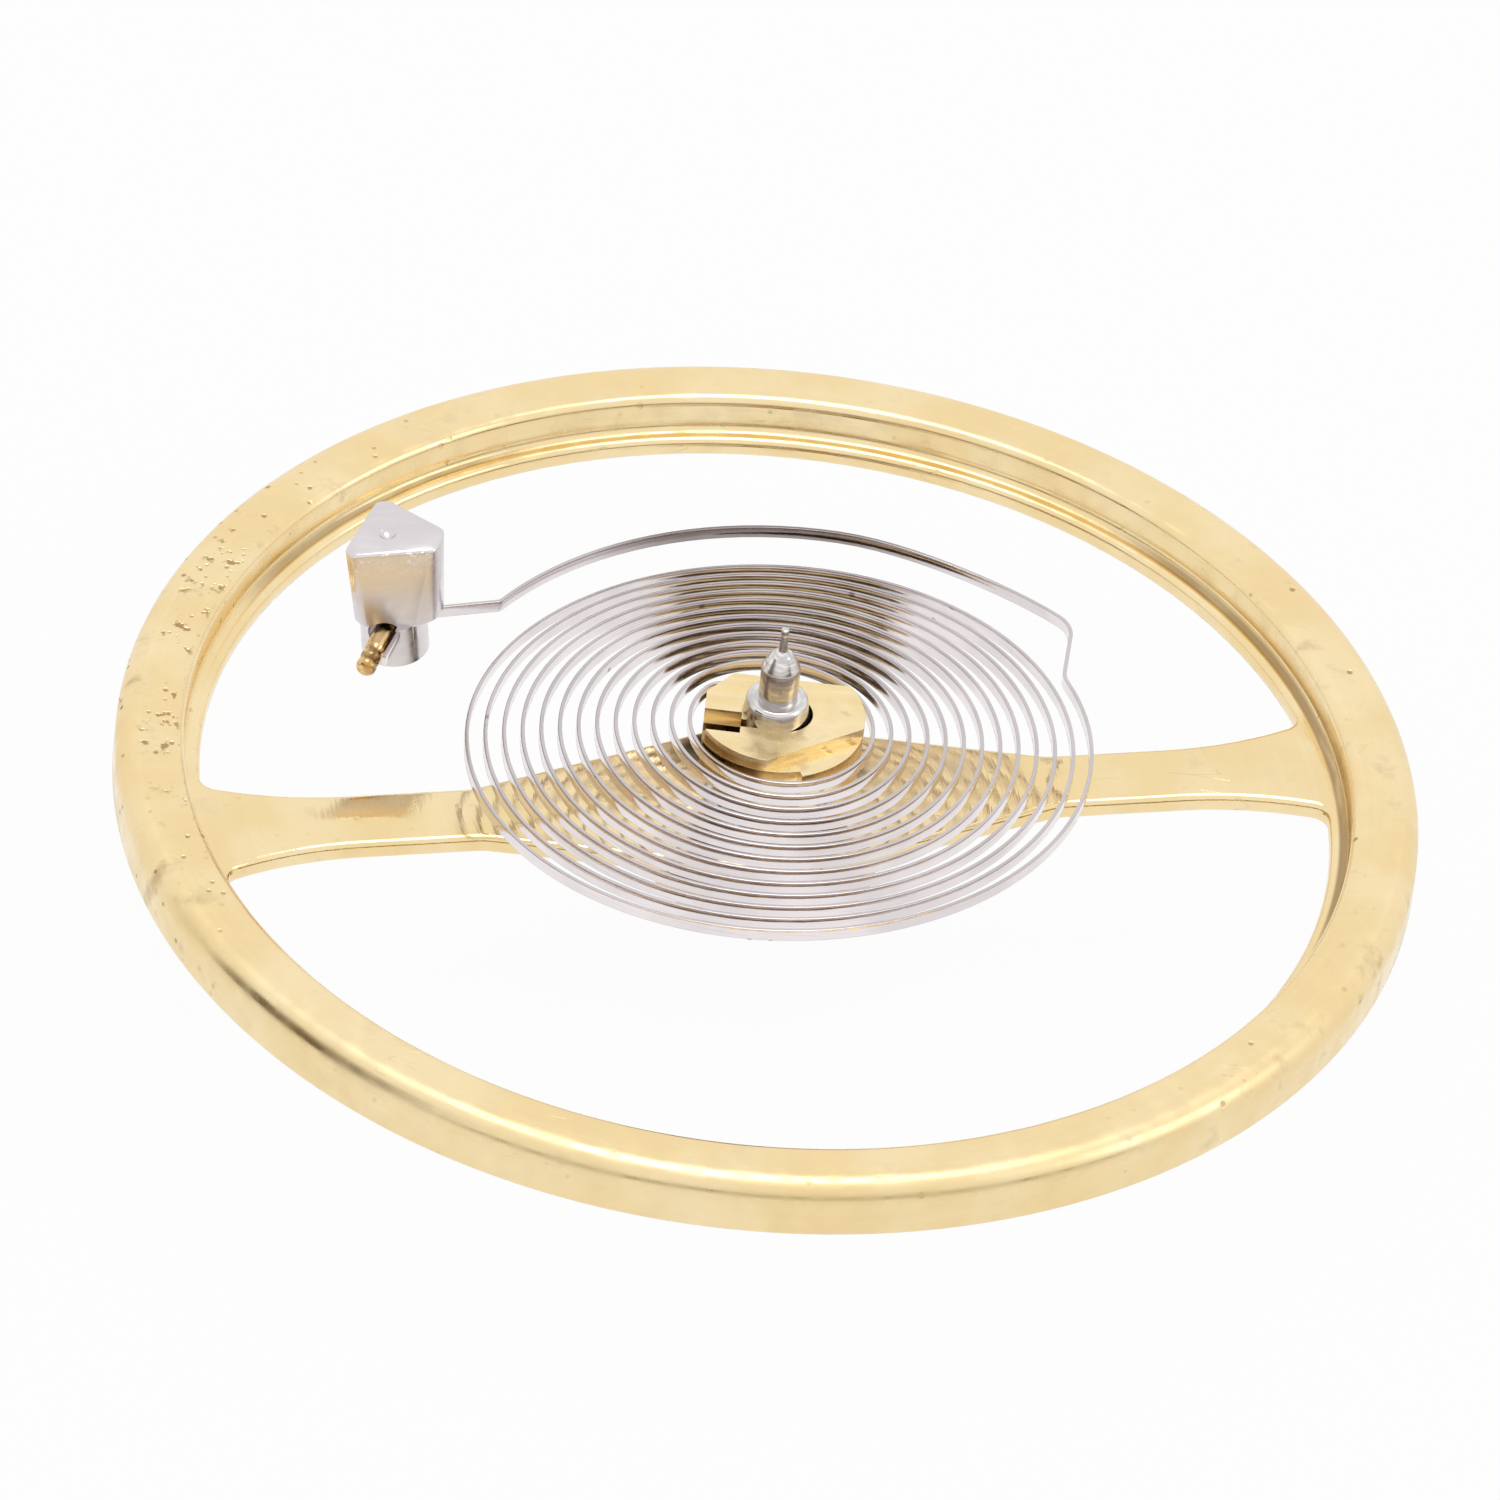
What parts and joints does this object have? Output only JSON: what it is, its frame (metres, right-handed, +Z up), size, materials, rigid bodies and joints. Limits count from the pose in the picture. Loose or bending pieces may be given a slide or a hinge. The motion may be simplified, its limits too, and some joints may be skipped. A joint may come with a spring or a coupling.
{
  "type": "watch balance wheel with hairspring",
  "caption": "Balance of a mechanical watch: two-armed gilt rim on its staff, with split collet, flat hairspring with stud and taper pin, and double roller with its jewel.",
  "frame": {"origin": "tip of the lower pivot, on the axis of the staff", "axes": "+Z up the staff from the roller side to the hairspring side; +X to the right of the picture and +Y away from its viewer; the arms lie 15.6 degrees counter-clockwise of X"},
  "size_m": [0.01, 0.01, 0.0031],
  "materials": {
    "gilt_alloy": "polished pale gilt, satin on the flats",
    "polished_steel": "burnished",
    "spring_alloy": "bright drawn strip",
    "stud_steel": "milled, worn bright on the edges",
    "pin_brass": "drawn and burnished",
    "ruby": "polished synthetic ruby"
  },
  "bodies": {
    "stud_end": {"hairspring_stud": "stud_steel", "stud_pin": "pin_brass", "hairspring": "spring_alloy"},
    "balance": {"balance_wheel": "gilt_alloy", "balance_staff": "polished_steel", "roller_table": "gilt_alloy", "safety_roller": "gilt_alloy", "impulse_jewel": "ruby", "collet": "gilt_alloy"}
  },
  "joints": [
    {"name": "balance_swing", "type": "hinge", "parent": "stud_end", "child": "balance", "pos_m": [0, 0, 0], "axis": [0, 0, 1], "range_deg": [-300, 300], "stiffness_Nm_per_rad": 0.00000038, "deforming": ["hairspring"]}
  ]
}
